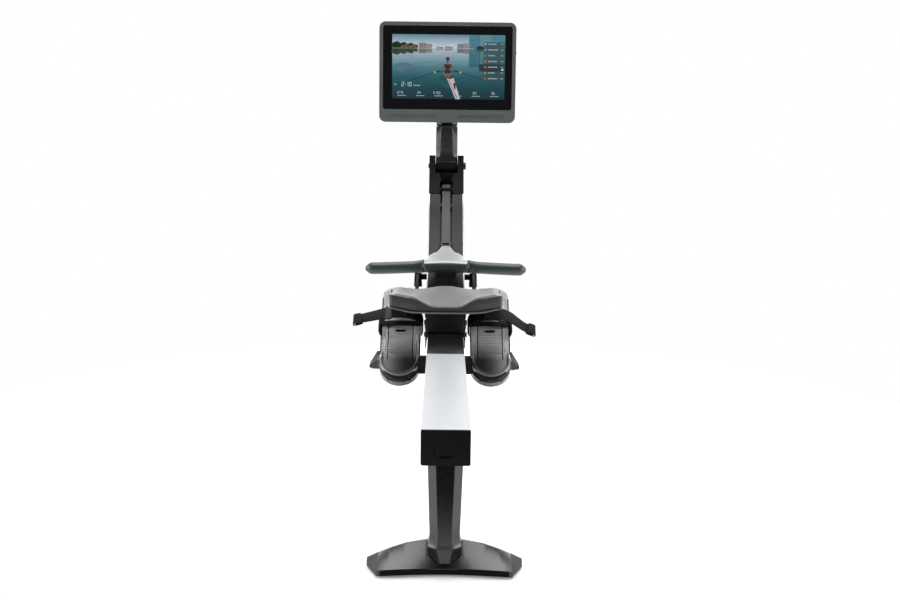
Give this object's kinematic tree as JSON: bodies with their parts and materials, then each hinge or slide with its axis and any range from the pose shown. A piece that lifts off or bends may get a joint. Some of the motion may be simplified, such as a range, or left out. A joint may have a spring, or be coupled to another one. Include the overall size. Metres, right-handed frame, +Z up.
{
  "type": "rowing machine",
  "caption": "Free-standing rowing machine with a straight rail, rolling seat, swept column, pull handle on webbing, strapped footbeds and a folding display.",
  "frame": {"origin": "on the floor, at the middle of the machine's length and width", "axes": "+Y from the seat to the display, +X to the rower's right, +Z up"},
  "size_m": [0.48, 2.032, 1.092],
  "materials": {
    "rail_aluminium": "satin anodised",
    "cover_aluminium": "brushed",
    "black_plastic": "fine texture",
    "nose_plastic": "satin",
    "dark_steel": "satin powder coat",
    "cap_metal": "satin",
    "arm_metal": "satin",
    "foot_rubber": "matte",
    "bright_steel": "plain",
    "flywheel_iron": "machined rim",
    "spool_plastic": "plain",
    "cartridge_steel": "plain",
    "belt_rubber": "ribbed",
    "board_green": "lacquered",
    "webbing_fabric": "tight weave",
    "strap_fabric": "tight weave",
    "handle_shell": "satin",
    "grip_rubber": "soft touch",
    "seat_skin": "fine grain",
    "tray_plastic": "satin",
    "carriage_metal": "satin",
    "roller_urethane": "smooth",
    "footbed_plastic": "relief pattern",
    "heel_plastic": "ribbed",
    "wheel_rubber": "moulded",
    "display_housing": "fine texture",
    "speaker_mesh": "perforated",
    "screen_glass": "polished",
    "button_plastic": "polished"
  },
  "bodies": {
    "root": {"rail": "rail_aluminium", "rail_top_inlay": "black_plastic", "rail_end_cap": "black_plastic", "rail_stops": "foot_rubber", "rear_stand": "dark_steel", "front_stand": "dark_steel", "foot_end_caps": "foot_rubber", "lower_crossbar": "dark_steel", "toe_frame": "dark_steel", "column_frame": "dark_steel", "frame_fasteners": "bright_steel", "column_fascia": "black_plastic", "column_back_cover": "black_plastic", "column_cap": "cap_metal", "fairlead": "black_plastic", "handle_dock": "foot_rubber", "recoil_cartridge": "cartridge_steel", "shaft_bearings": "bright_steel", "drive_belt": "belt_rubber", "brake_magnet": "cartridge_steel", "control_board": "board_green", "power_inlet": "black_plastic", "arm_pivot_bolt": "bright_steel", "side_cover_right": "cover_aluminium", "side_cover_left": "cover_aluminium", "nose_shell_right": "nose_plastic", "nose_shell_left": "nose_plastic", "footbed_right": "footbed_plastic", "footbed_left": "footbed_plastic", "foot_strap_right": "strap_fabric", "foot_strap_left": "strap_fabric"},
    "seat": {"seat_cushion": "seat_skin", "seat_tray": "tray_plastic", "seat_carriage": "carriage_metal", "seat_glides": "spool_plastic", "roller_axles": "bright_steel"},
    "seat_rollers_rear": {"seat_rollers_rear": "roller_urethane"},
    "seat_rollers_front": {"seat_rollers_front": "roller_urethane"},
    "spool": {"webbing_spool": "spool_plastic"},
    "drive_pulley": {"drive_pulley": "spool_plastic"},
    "flywheel": {"flywheel": "flywheel_iron", "flywheel_shaft": "bright_steel"},
    "webbing_roller": {"webbing_roller": "spool_plastic"},
    "webbing_end": {"webbing": "webbing_fabric", "webbing_link": "bright_steel"},
    "handle": {"handle_core": "handle_shell", "handle_grips": "grip_rubber"},
    "display_arm": {"display_arm": "arm_metal"},
    "swivel_bracket": {"swivel_bracket": "arm_metal"},
    "display": {"tilt_hinge": "arm_metal", "display_bezel": "display_housing", "speaker_grilles": "speaker_mesh", "display_rear_shell": "display_housing", "display_glass": "screen_glass", "display_electronics": "board_green"},
    "power_button": {"power_button": "button_plastic"},
    "heel_cup_right": {"heel_cup_right": "heel_plastic"},
    "heel_cup_left": {"heel_cup_left": "heel_plastic"},
    "wheel_right": {"transport_wheel_right": "wheel_rubber"},
    "wheel_left": {"transport_wheel_left": "wheel_rubber"}
  },
  "joints": [
    {"name": "seat_slide", "type": "slide", "parent": "root", "child": "seat", "axis": [0, -1, 0], "range_m": [0, 0.915]},
    {"name": "rear_roller_spin", "type": "hinge", "parent": "seat", "child": "seat_rollers_rear", "pos_m": [0, 0, 0.28], "axis": [1, 0, 0], "range_deg": [0, 2623.3]},
    {"name": "front_roller_spin", "type": "hinge", "parent": "seat", "child": "seat_rollers_front", "pos_m": [0, 0.118, 0.28], "axis": [1, 0, 0], "range_deg": [0, 2623.3]},
    {"name": "handle_pull", "type": "slide", "parent": "root", "child": "webbing_end", "axis": [0, -0.9744, 0.225], "range_m": [0, 0.95], "stiffness_N_per_m": 12, "springref_m": -0.5, "deforming": ["webbing"]},
    {"name": "handle_pivot", "type": "hinge", "parent": "webbing_end", "child": "handle", "pos_m": [0, 0.507, 0.418], "axis": [-1, 0, 0], "range_deg": [0, 60]},
    {"name": "spool_spin", "type": "hinge", "parent": "root", "child": "spool", "pos_m": [0, 0.76, 0.41], "axis": [1, 0, 0], "range_deg": [0, 1362.8]},
    {"name": "webbing_roller_spin", "type": "hinge", "parent": "root", "child": "webbing_roller", "pos_m": [0, 0.78804, 0.57186], "axis": [1, 0, 0], "range_deg": [0, 3536.5]},
    {"name": "flywheel_spin", "type": "hinge", "parent": "root", "child": "flywheel", "pos_m": [0, 0.88, 0.32], "axis": [1, 0, 0], "continuous": true},
    {"name": "drive_pulley_spin", "type": "hinge", "parent": "root", "child": "drive_pulley", "pos_m": [0, 0.76, 0.41], "axis": [1, 0, 0], "continuous": true},
    {"name": "display_fold", "type": "hinge", "parent": "root", "child": "display_arm", "pos_m": [0, 0.835, 0.645], "axis": [1, 0, 0], "range_deg": [0, 90]},
    {"name": "display_swivel", "type": "hinge", "parent": "display_arm", "child": "swivel_bracket", "pos_m": [0, 0.92, 0.936], "axis": [0, 0, 1], "range_deg": [-25, 25]},
    {"name": "display_tilt", "type": "hinge", "parent": "swivel_bracket", "child": "display", "pos_m": [0, 0.896, 0.936], "axis": [-1, 0, 0], "range_deg": [-5, 20]},
    {"name": "power_press", "type": "slide", "parent": "display", "child": "power_button", "axis": [-1, 0, 0], "range_m": [0, 0.0012], "stiffness_N_per_m": 400},
    {"name": "heel_slide_right", "type": "slide", "parent": "root", "child": "heel_cup_right", "axis": [0, 0.766, 0.6428], "range_m": [0, 0.055]},
    {"name": "heel_slide_left", "type": "slide", "parent": "root", "child": "heel_cup_left", "axis": [0, 0.766, 0.6428], "range_m": [0, 0.055]},
    {"name": "wheel_spin_right", "type": "hinge", "parent": "root", "child": "wheel_right", "pos_m": [0.162, 0.881, 0.031], "axis": [1, 0, 0], "continuous": true},
    {"name": "wheel_spin_left", "type": "hinge", "parent": "root", "child": "wheel_left", "pos_m": [-0.162, 0.881, 0.031], "axis": [1, 0, 0], "continuous": true}
  ],
  "couplings": [
    {"joint": "rear_roller_spin", "follows": "seat_slide", "rad_per_m": 50},
    {"joint": "front_roller_spin", "follows": "seat_slide", "rad_per_m": 50},
    {"joint": "spool_spin", "follows": "handle_pull", "rad_per_m": 25},
    {"joint": "webbing_roller_spin", "follows": "handle_pull", "rad_per_m": 64.935},
    {"joint": "drive_pulley_spin", "follows": "flywheel_spin", "ratio": 0.29032}
  ]
}
